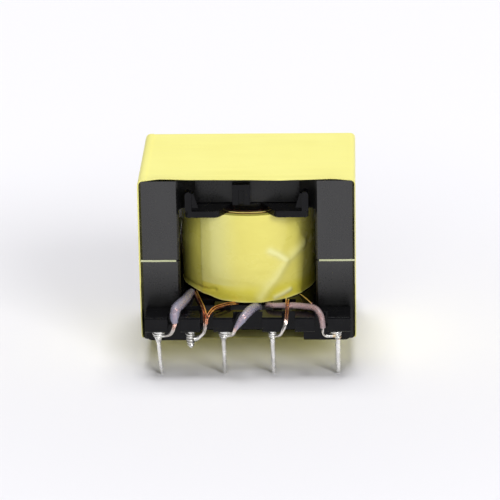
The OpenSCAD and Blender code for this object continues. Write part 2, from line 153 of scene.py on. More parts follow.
class Graph:  # the node graph of one material
    def __init__(self, name):
        self.material = bpy.data.materials.new(name)
        self.material.use_nodes = True
        self.tree = self.material.node_tree
        self.tree.nodes.clear()
        self.out = self.tree.nodes.new("ShaderNodeOutputMaterial")

    def node(self, kind, settings=None, inputs=None, output=0):
        made = self.tree.nodes.new(kind)
        for key, value in (settings or {}).items():
            setattr(made, key, value)
        for key, value in (inputs or {}).items():
            socket = made.inputs[key]
            if isinstance(value, Wire):
                self.tree.links.new(value.socket, socket)
            elif isinstance(value, tuple) and socket.type == "RGBA":
                socket.default_value = (*value, 1)
            elif value is not None:
                socket.default_value = value
        return Wire(self, made.outputs[output])

    def mix(self, factor, a, b, blend="MIX"):
        settings = {"data_type": "RGBA", "blend_type": blend}
        return self.node("ShaderNodeMix", settings, {0: factor, 6: a, 7: b}, 2)

    def place(self):  # position in millimetres, in the part's own frame
        spot = self.node("ShaderNodeTexCoord", output=3)
        return spot * 1000.0

    def axes(self, vector):
        split = self.node("ShaderNodeSeparateXYZ", inputs={0: vector})
        return [Wire(self, socket) for socket in split.socket.node.outputs]

    def noise(self, vector, scale, detail=2.0, rough=0.5):
        inputs = {"Vector": vector, "Scale": scale, "Detail": detail, "Roughness": rough}
        return self.node("ShaderNodeTexNoise", inputs=inputs)

    def ease(self, value, low, high, first=0.0, last=1.0):
        inputs = {0: value, 1: low, 2: high, 3: first, 4: last}
        return self.node("ShaderNodeMapRange", {"interpolation_type": "SMOOTHSTEP"}, inputs)

    def vary(self, pattern, first, last):  # first to last over the values that a noise mostly has
        return self.ease(pattern, 0.3, 0.7, first, last)

    def blend(self, a, b, share):  # a share of a, the rest from b
        return a * share + b * (1 - share)

    def bump(self, height, depth, normal=None):  # depth in millimetres
        inputs = {"Height": height, "Distance": depth * mm, "Normal": normal}
        return self.node("ShaderNodeBump", inputs=inputs)

    def shader(self, **sockets):
        inputs = {key.replace("_", " "): value for key, value in sockets.items()}
        return self.node("ShaderNodeBsdfPrincipled", inputs=inputs)

    def close(self, shader):
        self.tree.links.new(shader.socket, self.out.inputs[0])
        return self.material

    def finish(self, **sockets):
        return self.close(self.shader(**sockets))


# Floor, world and lamps
stageLook = {
    "shadedNearColour": (0.815, 0.808, 0.84),
    "farColour": (0.895, 0.888, 0.925),
    "fade": (15, 115),      # millimetres from the part over which the painted shade round the part fades and the floor grows paler
    "roughness": 0.7,
    "floorSize": 6.0,       # metres
    "floorGap": 0.02,       # millimetres between the pin tips and the floor
    "worldColour": (1.0, 1.0, 1.0),
    "worldLevel": 0.10,
}


def makeFloor(v):
    g = Graph("paleFloor")
    away = g.node("ShaderNodeVectorMath", {"operation": "LENGTH"}, {0: g.place()}, "Value")
    # painted shade: the floor is darker near the part
    colour = g.mix(g.ease(away, *v["fade"]), v["shadedNearColour"], v["farColour"])
    g.finish(Base_Color=colour, Roughness=v["roughness"], Specular_IOR_Level=0.0)
    h = v["floorSize"] / 2
    z = cadBox[0][2] - v["floorGap"] * mm
    mesh = bpy.data.meshes.new("floor")
    mesh.from_pydata([(-h, -h, z), (h, -h, z), (h, h, z), (-h, h, z)], [], [(0, 1, 2, 3)])
    mesh.materials.append(g.material)
    obj = bpy.data.objects.new("floor", mesh)
    scene.collection.objects.link(obj)


def makeWorld(v):
    world = bpy.data.worlds.new("studio")
    world.use_nodes = True
    back = world.node_tree.nodes["Background"]
    back.inputs[0].default_value = (*v["worldColour"], 1)
    back.inputs[1].default_value = v["worldLevel"]
    scene.world = world


lamps = {  # direction in degrees, distance and size in metres, power in watts
    "overhead": {"azimuth": 180, "elevation": 80, "distance": 2.8, "size": 1.3, "power": 62},
    "front": {"azimuth": 0, "elevation": 28, "distance": 2.8, "size": 1.8, "power": 16},
    "frontRight": {"azimuth": 36, "elevation": 30, "distance": 3.6, "size": 1.3, "power": 54},
}


def makeLamp(name, v):
    lamp = bpy.data.lights.new(name, "AREA")
    lamp.size = v["size"]
    lamp.energy = v["power"]
    obj = bpy.data.objects.new(name, lamp)
    towards = direction(v["azimuth"], v["elevation"])
    obj.location = coreCentre + towards * v["distance"]
    obj.rotation_euler = towards.to_track_quat("Z", "Y").to_euler()
    scene.collection.objects.link(obj)


makeFloor(stageLook)
makeWorld(stageLook)
for name, values in lamps.items():
    makeLamp(name, values)
print("stage ready")


# Finishes; "wave" is a depth in millimetres, and a pattern's fineness is for each millimetre
coreFilm = {
    "colour": (0.95, 0.905, 0.315),
    "deep": (0.935, 0.88, 0.29),
    "roughness": (0.34, 0.46),
    "wave": 0.04,
    "clouds": (0.10, 0.05, 0.10),
    "streaks": (0.06, 1.1, 0.06),
}
gapFilmLook = {**coreFilm, "colour": (0.62, 0.64, 0.42), "deep": (0.52, 0.55, 0.33), "wave": 0.02}


def yellowFilm(name, v):  # smooth polyester tape
    g = Graph(name)
    p = g.place()
    clouds = g.noise(p * v["clouds"], 1.0, 2.0)
    streaks = g.noise(p * v["streaks"], 1.0, 3.0, 0.6)
    shade = g.ease(g.blend(clouds, streaks, 0.6), 0.35, 0.65)
    return g.finish(
        Base_Color=g.mix(shade, v["deep"], v["colour"]),
        Roughness=g.vary(streaks, *v["roughness"]),
        Specular_IOR_Level=0.2,
        Normal=g.bump(g.blend(clouds, streaks, 0.7), v["wave"]),
    )


windingLook = {  # angles in degrees from the front, heights in millimetres from the core's middle
    "clear": (0.90, 0.82, 0.185),
    "copper": (0.80, 0.70, 0.13),   # where the wires below show through
    "mustard": (0.80, 0.74, 0.14),
    "frosted": (0.90, 0.86, 0.28),
    # painted shade: darker, deeper yellow on the foot of the film
    "low": (0.88, 0.79, 0.09),
    # paler film where it stands off the copper, and painted highlight along the ridges and the hem
    "liftedAndSheen": (0.98, 0.95, 0.42),
    "lap": -43.8,
    "lapEdge": 0.4,
    "mustardEnd": (-100, -60),
    "frostEnd": (-27.0, -5.0),
    "frostFoot": (-4.7, -4.4),
    "filmFootShadeTop": (-5.4, -3.8),
    "roughness": (0.24, 0.36),
    "wave": 0.12,
    "clouds": (0.16, 0.16, 0.22),
    "grain": (0.5, 0.5, 1.6),
}


def windingFilm(v):  # the same tape over copper, with a second layer and a loose hem; painted shade at its foot, and paler film with painted highlight on its ridges
    g = Graph("windingFilm")
    p = g.place()
    x, y, z = g.axes(p)
    height = z - coreCentre.z / mm
    angle = g.node("ShaderNodeMath", {"operation": "ARCTAN2"}, {0: x, 1: 0.0 - y}) * math.degrees(1)
    clouds = g.noise(p * v["clouds"], 1.0, 3.0, 0.5)
    grain = g.noise(p * v["grain"], 1.0, 2.0)
    patch = g.ease(g.blend(clouds, grain, 0.75), 0.34, 0.66)
    bare = g.mix(patch * 0.35, v["clear"], v["copper"])
    layer = g.ease(angle, v["lap"] - v["lapEdge"], v["lap"] + v["lapEdge"])
    # painted shade: the foot of the film turns darker and deeper yellow
    bare = g.mix(g.ease(height, *v["filmFootShadeTop"], 1.0, 0.0), bare, v["low"])
    frost = layer * g.ease(angle, *v["frostEnd"], 1.0, 0.0) * g.ease(height, *v["frostFoot"])
    colour = g.mix(frost * 0.85, bare, v["frosted"])
    single = (1.0 - layer) * g.ease(angle, *v["mustardEnd"], 0.4, 1.0)
    colour = g.mix(single * 0.8, colour, v["mustard"])
    # paler where the film stands off the copper, partly painted highlight along the ridges and the
    # hem
    lift = g.node("ShaderNodeAttribute", {"attribute_name": "lift"}, output="Fac")
    colour = g.mix(lift, colour, v["liftedAndSheen"])
    return g.finish(
        Base_Color=colour,
        Roughness=g.vary(clouds, *v["roughness"]),
        Coat_Weight=0.25,
        Coat_Roughness=0.15,
        Normal=g.bump(g.blend(clouds, grain, 0.8), v["wave"]),
    )


ferriteLook = {
    "dark": (0.003, 0.003, 0.003),
    "pale": (0.009, 0.009, 0.009),
    # painted highlight along the outer edges, mixed with chipped wear
    "wornAndSheen": (0.12, 0.12, 0.10),
    "ground": ((0.24, 0.34), 1.70),  # roughness from and to, and index of refraction
    "fired": ((0.30, 0.42), 1.36),
    "window": (10.6, 10.8),         # inside these half widths the legs are left as fired
    "footShade": (-7.5, 1.5, 0.85),   # low and high edge of the fade of the painted shade, its share at the foot; there the as-fired finish reflects less, darker towards the bottom
    "wearAndSheenEdge": (0.3, 0.12),        # where the wear and painted edge highlight begin and are full, from the outer face
    "wave": 0.006,
    "grain": 3.0,
    "clouds": (0.35, 0.35, 0.15),
}


def sinteredFerrite(v):  # black ferrite: legs ground, the rest as fired; the foot reflects less as painted shade, and the outer edges carry a painted highlight with wear
    g = Graph("sinteredFerrite")
    p = g.place()
    x, _, z = g.axes(p)
    grain = g.noise(p, v["grain"], 2.0, 0.6)
    clouds = g.noise(p * v["clouds"], 1.0, 3.0)
    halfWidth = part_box("core_top")[1][0] / mm
    # painted highlight along the outer edges, broken up by noise like chipped wear
    edge = g.ease(abs(x), *[halfWidth - inset for inset in v["wearAndSheenEdge"]])
    wearAndSheen = edge * g.ease(clouds + grain * 0.4, 0.5, 0.85)
    base = g.mix(g.ease(g.blend(clouds, grain, 0.6), 0.35, 0.65), v["dark"], v["pale"])
    base = g.mix(wearAndSheen * 0.6, base, v["wornAndSheen"])
    normal = g.bump(grain, v["wave"])
    pattern = g.blend(clouds, grain, 0.5)
    surfaces = [
        g.shader(Base_Color=base, Roughness=g.vary(pattern, *roughness), IOR=index, Normal=normal)
        for roughness, index in (v["ground"], v["fired"])
    ]
    # painted shade: the less reflective as-fired finish fades in towards the foot, darker towards
    # the bottom
    low, high, share = v["footShade"]
    shadedFoot = g.ease(z - coreCentre.z / mm, low, high, share, 0.0)
    inside = g.ease(abs(x), *v["window"], 0.8, 0.0)
    either = g.node("ShaderNodeMath", {"operation": "MAXIMUM"}, {0: shadedFoot, 1: inside})
    inputs = {0: either, 1: surfaces[0], 2: surfaces[1]}
    return g.close(g.node("ShaderNodeMixShader", inputs=inputs))


mouldingLook = {
    "dark": (0.002, 0.002, 0.003),
    "pale": (0.004, 0.004, 0.005),
    "dust": (0.10, 0.095, 0.08),
    "roughness": (0.20, 0.28),
    "edgeRadius": 0.16,
    "wave": 0.03,
    "grain": 0.45,
    "specks": 3.5,
}


def blackMoulding(v):  # glossy black phenolic with softened edges and a few specks
    g = Graph("blackMoulding")
    p = g.place()
    grain = g.noise(p, v["grain"], 2.0, 0.5)
    specks = g.ease(g.noise(p, v["specks"], 1.0), 0.8, 0.84)
    base = g.mix(g.ease(grain, 0.35, 0.7), v["dark"], v["pale"])
    soft = g.node("ShaderNodeBevel", {"samples": 8}, {"Radius": v["edgeRadius"] * mm})
    return g.finish(
        Base_Color=g.mix(specks * 0.25, base, v["dust"]),
        Roughness=g.vary(grain, *v["roughness"]),
        Specular_IOR_Level=0.08,
        Coat_Weight=0.22,
        Coat_Roughness=0.05,
        Normal=g.bump(grain, v["wave"], soft),
    )


copperLook = {
    "deep": (0.62, 0.19, 0.08),
    "bright": (0.96, 0.46, 0.27),
    "tin": (0.80, 0.75, 0.70),
    "tinFade": (-0.45, 0.9),    # millimetres below and above the height of the dip
    "tinWander": 0.8,
    "roughness": (0.14, 0.24),
    "wave": 0.02,
    "patches": 1.1,
}
pinkWire = {**copperLook, "deep": (0.78, 0.36, 0.28), "bright": (0.97, 0.64, 0.55)}


def enamelledCopper(name, v, dip=None):  # tinned below the height of the dip, where there is one
    g = Graph(name)
    p = g.place()
    z = g.axes(p)[2]
    patch = g.noise(p, v["patches"], 2.0)
    colour = g.mix(g.vary(patch, 0.0, 1.0), v["deep"], v["bright"])
    if dip is not None:
        low, high = [coreCentre.z / mm + dip + fade for fade in v["tinFade"]]
        tinned = g.ease(z + patch * v["tinWander"], low, high, 1.0, 0.0)
        colour = g.mix(tinned, colour, v["tin"])
    return g.finish(
        Base_Color=colour,
        Metallic=0.9,
        Roughness=g.vary(patch, *v["roughness"]),
        Coat_Weight=1.0,
        Coat_Roughness=0.06,
        Normal=g.bump(patch, v["wave"]),
    )


tinLook = {
    "pale": (0.90, 0.89, 0.86),
    "grey": (0.66, 0.65, 0.62),
    "flux": (0.78, 0.56, 0.30),
    "roughness": (0.2, 0.3),
    "wave": 0.03,
    "runs": (0.9, 0.9, 0.35),
    "grain": 1.2,
}


def tinPlate(name, v, flux=0.0):  # solder-dipped metal, browned where flux stays on it
    g = Graph(name)
    p = g.place()
    runs = g.noise(p * v["runs"], 1.0, 1.0, 0.4)
    grain = g.noise(p, v["grain"], 1.0)
    colour = g.mix(g.ease(g.blend(runs, grain, 0.7), 0.38, 0.58), v["grey"], v["pale"])
    colour = g.mix(g.ease(runs, 0.4, 0.55, 0.0, flux), colour, v["flux"])
    return g.finish(
        Base_Color=colour,
        Metallic=0.9,
        Roughness=g.vary(grain, *v["roughness"]),
        Normal=g.bump(runs, v["wave"]),
    )


sleeveLook = {
    "grey": (0.42, 0.42, 0.56),
    "lilac": (0.60, 0.55, 0.68),
    "cover": (0.50, 0.30),      # how much of what lies behind the film hides
    "roughness": (0.22, 0.36),
    "wave": 0.05,
    "clouds": 0.7,
}
pinkSleeve = {**sleeveLook, "grey": (0.55, 0.42, 0.44), "lilac": (0.74, 0.54, 0.54)}


def clearSleeving(name, v):  # thin translucent tube
    g = Graph(name)
    p = g.place()
    clouds = g.noise(p, v["clouds"], 2.0)
    return g.finish(
        Base_Color=g.mix(g.ease(clouds, 0.35, 0.65), v["grey"], v["lilac"]),
        Roughness=g.vary(clouds, *v["roughness"]),
        Alpha=g.vary(clouds, *v["cover"]),
        Coat_Weight=0.4,
        Coat_Roughness=0.12,
        Normal=g.bump(clouds, v["wave"]),
    )


looks = {
    "coreTape": yellowFilm("coreTapeFilm", coreFilm),
    "layerTape": yellowFilm("layerTapeFilm", coreFilm),
    "gapFilm": yellowFilm("gapFilm", gapFilmLook),
    "windingTape": windingFilm(windingLook),
    "ferrite": sinteredFerrite(ferriteLook),
    "bobbin": blackMoulding(mouldingLook),
    "copper": enamelledCopper("enamelledCopper", copperLook),
    "dippedLow": enamelledCopper("copperDippedLow", copperLook, -8.6),
    "dippedHigh": enamelledCopper("copperDippedHigh", copperLook, -7.6),
    "sleevedWire": enamelledCopper("sleevedWire", pinkWire, -8.9),
    "fineWire": enamelledCopper("fineWire", pinkWire),
    "tin": tinPlate("tinnedMetal", tinLook),
    "fluxTin": tinPlate("tinnedMetalWithFlux", tinLook, 0.85),
    "sleeve": clearSleeving("clearSleeving", sleeveLook),
    "pinkSleeve": clearSleeving("pinkSleeving", pinkSleeve),
}
print("finishes ready:", len(looks))


# Mesh helpers
sharpEdge = math.radians(40)  # faces that meet at a larger angle keep a sharp edge


def makePiece(name, shape, look, slot, *nodes):
    points, faces = shape
    mesh = bpy.data.meshes.new(name)
    mesh.from_pydata([tuple(p) for p in points], [], faces)
    mesh.validate()
    mesh.materials.append(looks[look])
    mesh.polygons.foreach_set("use_smooth", [True] * len(mesh.polygons))
    mesh.set_sharp_from_angle(angle=sharpEdge)
    obj = bpy.data.objects.new(name, mesh)
    scene.collection.objects.link(obj)
    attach(obj, "root")
    if nodes:
        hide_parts(*nodes)
    return obj


def curve(points, steps):  # smooth line through the points
    out = []
    last = len(points) - 1
    for i in range(last):
        a, b = points[max(i - 1, 0)], points[i]
        c, d = points[i + 1], points[min(i + 2, last)]
        for s in range(steps):
            t = s / steps
            bend = (c - a) * t
            bend += (2 * a - 5 * b + 4 * c - d) * t ** 2
            bend += (3 * (b - c) + d - a) * t ** 3
            out.append(b + bend / 2)
    out.append(points[last])
    return out


def crossings(path):  # direction and two cross directions at each point of a line
    last = len(path) - 1
    ahead = [(path[min(i + 1, last)] - path[max(i - 1, 0)]).normalized() for i in range(last + 1)]
    side = ahead[0].orthogonal().normalized()
    out = []
    for t in ahead:
        side = (side - t * side.dot(t)).normalized()
        out.append((side, t.cross(side)))
    return out


def skin(rings):  # closed skin over rings that have as many points each
    sides = len(rings[0])
    points = [p for ring in rings for p in ring]
    faces = []
    for i in range(len(rings) - 1):
        for k in range(sides):
            a, b = i * sides + k, i * sides + (k + 1) % sides
            faces.append((a, b, b + sides, a + sides))
    end = len(points) - sides
    faces.append(tuple(range(sides))[::-1])
    faces.append(tuple(range(end, end + sides)))
    return points, faces


def tube(path, radius, sides=10):  # radius(share of length, angle) in metres
    last = len(path) - 1
    angles = [2 * math.pi * k / sides for k in range(sides)]
    rings = []
    for i, (p, (side, up)) in enumerate(zip(path, crossings(path))):
        spokes = [(side * math.cos(a) + up * math.sin(a)) * radius(i / last, a) for a in angles]
        rings.append([p + spoke for spoke in spokes])
    return skin(rings)


def pipe(path, radius, bore, sides=18):  # tube with a hole; bore is a share of the radius
    points, faces = tube(path, radius, sides)
    inner, innerFaces = tube(path, lambda share, angle: radius(share, angle) * bore, sides)
    start = len(points)
    end = (len(path) - 1) * sides
    faces = faces[:-2] + [tuple(i + start for i in f[::-1]) for f in innerFaces[:-2]]
    for k in range(sides):
        m = (k + 1) % sides
        faces.append((m, k, start + k, start + m))
        faces.append((end + k, end + m, start + end + m, start + end + k))
    return points + inner, faces


def join(shapes):  # several shapes as one
    points, faces = [], []
    for some, more in shapes:
        n = len(points)
        points += some
        faces += [tuple(i + n for i in f) for f in more]
    return points, faces


def lathe(profile, around=160):  # closed profile of (radius, height) turned round the core's axis
    points, faces = [], []
    n = len(profile)
    for i in range(around):
        a = 2 * math.pi * i / around
        points += [atCore(r * math.sin(a), -r * math.cos(a), z) for r, z in profile]
        for k in range(n):
            m = (k + 1) % n
            j = (i + 1) % around
            faces.append((i * n + k, j * n + k, j * n + m, i * n + m))
    return points, faces


def ripple(*where):  # smooth noise at a place; a fixed number in it only picks another pattern
    return noise.noise(Vector(where))


def between(table, x):  # smooth value at x from a table of (x, value)
    if x <= table[0][0]:
        return table[0][1]
    for (x0, v0), (x1, v1) in zip(table, table[1:]):
        if x <= x1:
            t = (x - x0) / (x1 - x0)
            return v0 + (v1 - v0) * t * t * (3 - 2 * t)
    return table[-1][1]


def strands(path, v, seed):  # twisted wires side by side along a line
    draw = random.Random(seed)
    last = len(path) - 1
    cross = crossings(path)

    def radius(share, angle):
        return v["wire"] * (1 - v["gather"] * share ** 2 / 2) * mm

    shapes = []
    for k in range(v["count"]):
        phase = 2 * math.pi * k / v["count"] + draw.uniform(-v["uneven"], v["uneven"])
        stray = draw.uniform(*v["stray"])
        line = []
        for i, (p, (side, up)) in enumerate(zip(path, cross)):
            share = i / last
            a = phase + 2 * math.pi * v["twists"] * share
            close = 1 - v["gather"] * share ** 2
            swell = 1 + v["swell"] * math.sin(v["swells"] * share + phase)
            r = v["spread"] * mm * stray * close * swell
            line.append(p + (side * math.cos(a) + up * math.sin(a)) * r)
        shapes.append(tube(line, radius, 8))
    return join(shapes)


# Tape round the core
coreTape = {  # millimetres
    "turns": 3.15,
    "film": 0.045,
    "pitch": 0.05,
    "clearance": 0.01,
    "corner": 0.6,
    "start": 0.35,          # where the tape begins, as a share of the left side's height
    "edgeWander": 0.06,
    "edgeWaves": (0.09, 0.4),   # how fine the slow and the fast wander are
    "slip": 0.03,           # how far the turns lie beside each other
    "frontLift": ((-16.4, 0.04), (-13, 0.38), (-8, 0.24), (0, 0.18),
                  (5, 0.08), (8, 0.16), (13, 0.28), (16.4, 0.02)),
    "liftDepth": 0.22,      # share of the depth over which the lifted front edge settles
    "sideBow": 0.05,        # the left side stands off the core a little
    "bowHeight": 12.0,      # from the middle of the side to where the bow ends
    "bowDepth": 0.6,        # share of the depth over which it settles
    "footStep": 0.5,        # the lower run starts behind the feet of the bobbin
    "footTuck": 0.02,       # its front edge lies close to the core
    "samples": 420,
    "columns": 14,
}


class Outline:  # the rounded rectangle that the tape follows, seen from the front
    def __init__(self, halfWidth, halfHeight, corner):
        self.half = (halfWidth, halfHeight)
        self.corner = corner
        self.sides = [2 * (halfHeight - corner), 2 * (halfWidth - corner)] * 2
        self.arc = math.pi / 2 * corner
        self.length = sum(self.sides) + 4 * self.arc

    def at(self, s):  # point and outward direction; clockwise from the foot of the left side
        s = s % self.length
        quarter = 0
        while quarter < 3 and s > self.sides[quarter] + self.arc:
            s -= self.sides[quarter] + self.arc
            quarter += 1
        w, h = self.half if quarter % 2 == 0 else self.half[::-1]
        c = self.corner
        if s <= self.sides[quarter]:
            point, normal = (-w, s - h + c), (-1, 0)
        else:
            a = math.pi - (s - self.sides[quarter]) / c
            normal = (math.cos(a), math.sin(a))
            point = (-w + c + c * normal[0], h - c + c * normal[1])
        for _ in range(quarter):
            point, normal = (point[1], -point[0]), (normal[1], -normal[0])
        return point, normal


def makeCoreTape(v):
    low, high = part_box("core_tape_band")
    coreLow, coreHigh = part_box("core_bottom")[0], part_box("core_top")[1]
    outline = Outline(coreHigh[0] / mm, (coreHigh[2] - coreLow[2]) / 2 / mm, v["corner"])
    front, back = low[1] / mm, high[1] / mm
    total = v["turns"] * outline.length
    begin = v["start"] * outline.sides[0]
    count = int(v["samples"] * v["turns"])
    columns = v["columns"]
    mostly = 0.7            # a direction with more than this along an axis belongs to that side
    slow, fast = v["edgeWaves"]

    def standOff(at, towards, share, lift):  # distance from the core, by share of the depth
        (x, z), (nx, nz) = at, towards
        if share == 0 and nz < -mostly:
            lift = -v["footTuck"]
        if nz > mostly:
            lift += between(v["frontLift"], x) * max(0.0, 1 - share / v["liftDepth"]) ** 2
        if nx < -mostly:
            across = max(0.0, 1 - (z / v["bowHeight"]) ** 2)
            lift += v["sideBow"] * across * max(0.0, 1 - share / v["bowDepth"])
        return lift

    points, faces = [], []
    for i in range(count + 1):
        s = i / count * total
        (x, z), (nx, nz) = outline.at(s + begin)
        turn = s / outline.length
        lift = v["clearance"] + turn * v["pitch"]
        wander = v["edgeWander"] * abs(ripple(s * slow, 3.1, 0) + 0.5 * ripple(s * fast, 7.7, 0))
        slip = v["slip"] * math.sin(turn * 2.1)
        for face in (0, 1):
            for k in range(columns + 1):
                share = k / columns
                y = front + (back - front) * share
                if k == 0:
                    y += wander + slip + v["footStep"] * max(0.0, -nz) ** 2
                if k == columns:
                    y -= wander - slip
                stand = standOff((x, z), (nx, nz), share, lift + face * v["film"])
                points.append(atCore(x + nx * stand, y, z + nz * stand))
    ring = 2 * (columns + 1)
    for i in range(count):
        a, b = i * ring, (i + 1) * ring
        for k in range(columns):
            m = columns + 1 + k
            faces.append((a + k, b + k, b + k + 1, a + k + 1))
            faces.append((a + m, a + m + 1, b + m + 1, b + m))
        faces.append((a, a + columns + 1, b + columns + 1, b))
        faces.append((a + columns, b + columns, b + 2 * columns + 1, a + 2 * columns + 1))
    for a, flip in ((0, False), (count * ring, True)):
        cap = [a + k for k in range(columns + 1)] + [a + ring - 1 - k for k in range(columns + 1)]
        faces.append(tuple(cap[::-1] if flip else cap))
    makePiece("coreTapeTurns", (points, faces), "coreTape", "core_tape", "core_tape_band")


makeCoreTape(coreTape)
print("tape round the core done")


# Tape round the winding, in millimetres; its lines are points of (angle from the front, height)
windingTape = {
    "inner": 10.25,
    "outer": 10.5,
    "rimInner": 9.55,
    "rimFilm": 0.1,
    "rimRound": 0.15,
    "clearance": 0.02,
    "top": 7.06,
    "foot": ((-180, -7.06), (-110, -6.9), (-76, -6.42), (-58, -6.3), (-39, -6.54), (-20.5, -6.98),
             (-4, -7.1), (28, -7.09), (48, -6.96), (90, -7.02), (180, -7.06)),
    "lap": -43.8,           # where the outer end of the tape lies, degrees
    "lapStep": 0.05,
    "lapFade": (0.8, 140),  # degrees over which the step rises and settles
    "barrel": (0.08, 5.0),  # how far the middle stands out, and half the height over which it does
    "hemFlare": (0.08, 0.25),   # how far the hem stands out, and the height over which it does
    "hemSheen": (0.55, 0.16),    # how pale it looks, which is partly painted highlight, and the height of the pale line
    "ripples": ((0.06, 2, 0.24), (0.02, 5, 0.5)),   # depth, and how fine round and up the film
    "fold": ((-7.1, 50), (-3.4, 52.1), (-1.3, 53.6), (1.1, 53.9), (3.7, 48.6), (5.2, 44.3),
             (7.1, 43)),    # of (height, angle)
    "foldDrop": 0.42,       # the film falls back behind the fold
    "foldReach": 2.2,
    "foldEnd": 6,           # and is back in place after so many reaches
    "around": 560,
    "up": 100,
    "ridges": {             # line, height, width, and how pale the film looks where it stands off the copper, partly painted highlight
        "crease": (((54, 1.1), (43, 0.2), (35, -0.7), (29, -2.0), (25, -3.1), (16, -4.9),
                    (10, -6.6)), 0.28, 0.85, 0.5),
        "nick": (((19, 1.2), (26, 0.4), (33, -0.6)), 0.22, 0.6, 0.9),
        "tuck": (((36, 1.3), (46, 3.9)), -0.05, 0.9, 0.0),
        "hem": (((23, -6.6), (30, -6.2), (37, -5.75)), 0.18, 0.4, 1.0),
        "groove": (((-85, -6.1), (-60, -5.76), (-45, -5.76), (-36, -5.7), (-29, -5.45)),
                   -0.16, 0.28, 0.0),
        "hollow": (((-36, -4.4), (-12, -4.2), (8, -4.6)), -0.06, 0.7, 0.0),
        "ribHigh": (((8, -0.9), (27, -1.3)), -0.06, 0.5, 0.0),
        "ribLow": (((10, -2.8), (20, -2.7)), -0.06, 0.45, 0.0),
    },
}


def hump(x, width):  # 1 at zero, falling away smoothly over the width
    return math.exp(-(x / width) ** 2)


def distanceTo(line, u, z):  # on the unrolled film, in millimetres
    best = 1e9
    for (u0, z0), (u1, z1) in zip(line, line[1:]):
        du, dz = u1 - u0, z1 - z0
        t = ((u - u0) * du + (z - z0) * dz) / (du * du + dz * dz)
        t = min(1.0, max(0.0, t))
        best = min(best, math.hypot(u - u0 - t * du, z - z0 - t * dz))
    return best


def makeWindingTape(v):
    scale = math.radians(v["outer"])  # millimetres of film for each degree
    ridges = [([(a * scale, z) for a, z in r[0]], *r[1:]) for r in v["ridges"].values()]

    def film(angle, z, foot):  # radius, and how much the film stands off the copper, which also sets its painted highlight
        r = v["outer"] + v["barrel"][0] * hump(z, v["barrel"][1])
        past = (angle - v["lap"]) % 360
        rise, settle = v["lapFade"]
        r += v["lapStep"] * max(0.0, 1 - past / settle) * min(1.0, past / rise)
        # painted highlight as a pale line along the hem and on the ridges, partly film standing off
        # the copper
        lift = v["hemSheen"][0] * hump(z - foot, v["hemSheen"][1])
        for line, height, width, pale in ridges:
            near = hump(distanceTo(line, angle * scale, z), width)
            r += height * near
            lift = max(lift, pale * near)
        behind = (angle - between(v["fold"], z)) * scale / v["foldReach"]
        if behind > 0:
            r -= v["foldDrop"] * (1 - math.exp(-behind)) * max(0.0, 1 - behind / v["foldEnd"])
        t = math.radians(angle)
        x, y = math.cos(t), math.sin(t)
        for depth, fineness, upwards in v["ripples"]:
            r += depth * ripple(x * fineness, y * fineness, z * upwards)
        return r, lift

    points, faces, liftsAndSheen = [], [], []
    rows = v["up"]
    top, inner, rim = v["top"], v["inner"], v["rimInner"]
    flare, flareWidth = v["hemFlare"]
    under = top - v["rimFilm"]
    for i in range(v["around"]):
        angle = 360 * i / v["around"] - 180
        t = math.radians(angle)
        foot = between(v["foot"], angle)
        profile = [(inner, foot + v["clearance"])]
        liftsAndSheen.append(0.0)
        for k in range(rows + 1):
            z = foot + (top - foot) * k / rows
            r, lift = film(angle, z, foot)
            profile.append((r + flare * hump(z - foot, flareWidth), z))
            liftsAndSheen.append(lift)
        rimStart = (v["outer"] - v["rimRound"], top + v["clearance"])
        profile += [rimStart, (rim, top), (rim, under), (inner, under)]
        liftsAndSheen += [0.0] * 4
        points += [atCore(r * math.sin(t), -r * math.cos(t), z) for r, z in profile]
    size = len(points) // v["around"]
    for i in range(v["around"]):
        j = (i + 1) % v["around"]
        for k in range(size):
            m = (k + 1) % size
            faces.append((i * size + k, j * size + k, j * size + m, i * size + m))
    piece = makePiece("windingTapeTurns", (points, faces), "windingTape", "winding_tape",
                      "winding_outer_tape")
    liftAndSheenMask = piece.data.attributes.new("lift", "FLOAT", "POINT")
    liftAndSheenMask.data.foreach_set("value", liftsAndSheen)


makeWindingTape(windingTape)
print("tape round the winding done")


# Copper layers and the tapes between them; their upper turns show in the bay of the flange
innerLayers = {  # millimetres
    "coils": {
        "primary_inner_winding": 0.46,
        "secondary_winding": 0.5,
        "primary_outer_winding": 0.46,
    },
    "tapes": {"insulation_tape_1": 6.98, "insulation_tape_2": 6.9},
    "reach": 6.9,           # how far the turns go up and down from the middle
    "clearance": 0.02,
    "depth": 0.68,
    "film": 0.12,
    "flare": 0.03,
    "wireAngles": (-80, -40, 0, 40, 80),    # degrees round the outer half of a wire
}


def makeCoil(node, wire, v):
    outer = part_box(node)[1][0] / mm - v["clearance"]
    inner = outer - v["depth"]
    reach = v["reach"]
    turns = int(2 * reach / wire)
    pitch = 2 * reach / turns
    profile = [(inner, reach), (inner, -reach)]
    for i in range(turns):
        for angle in v["wireAngles"]:
            t = math.radians(angle)
            z = -reach + (i + 0.5 + 0.5 * math.sin(t)) * pitch
            profile.append((outer - wire / 2 * (1 - math.cos(t)), z))
    makePiece(node.replace("winding", "turns"), lathe(profile), "copper", "copper", node)


def makeLayerTape(node, top, v):
    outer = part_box(node)[1][0] / mm
    inner = outer - v["film"]
    profile = [(inner, top), (inner, -top), (outer, -top), (outer + v["flare"], top)]
    name = node.replace("insulation", "layer")
    makePiece(name, lathe(profile), "layerTape", "winding_tape", node)


for node, wire in innerLayers["coils"].items():
    makeCoil(node, wire, innerLayers)
for node, top in innerLayers["tapes"].items():
    makeLayerTape(node, top, innerLayers)
print("inner layers done")


# Film in the gap between the core halves; its edge is squeezed out a little
gapFilm = {  # millimetres
    "proud": 0.09,          # how far the bead stands out
    "shoulder": 0.7,        # how far out the bead is still full height, as a share
    "lip": 0.05,
    "inset": 0.01,
    "wander": 0.02,
    "waves": 0.6,
    "steps": 40,
}


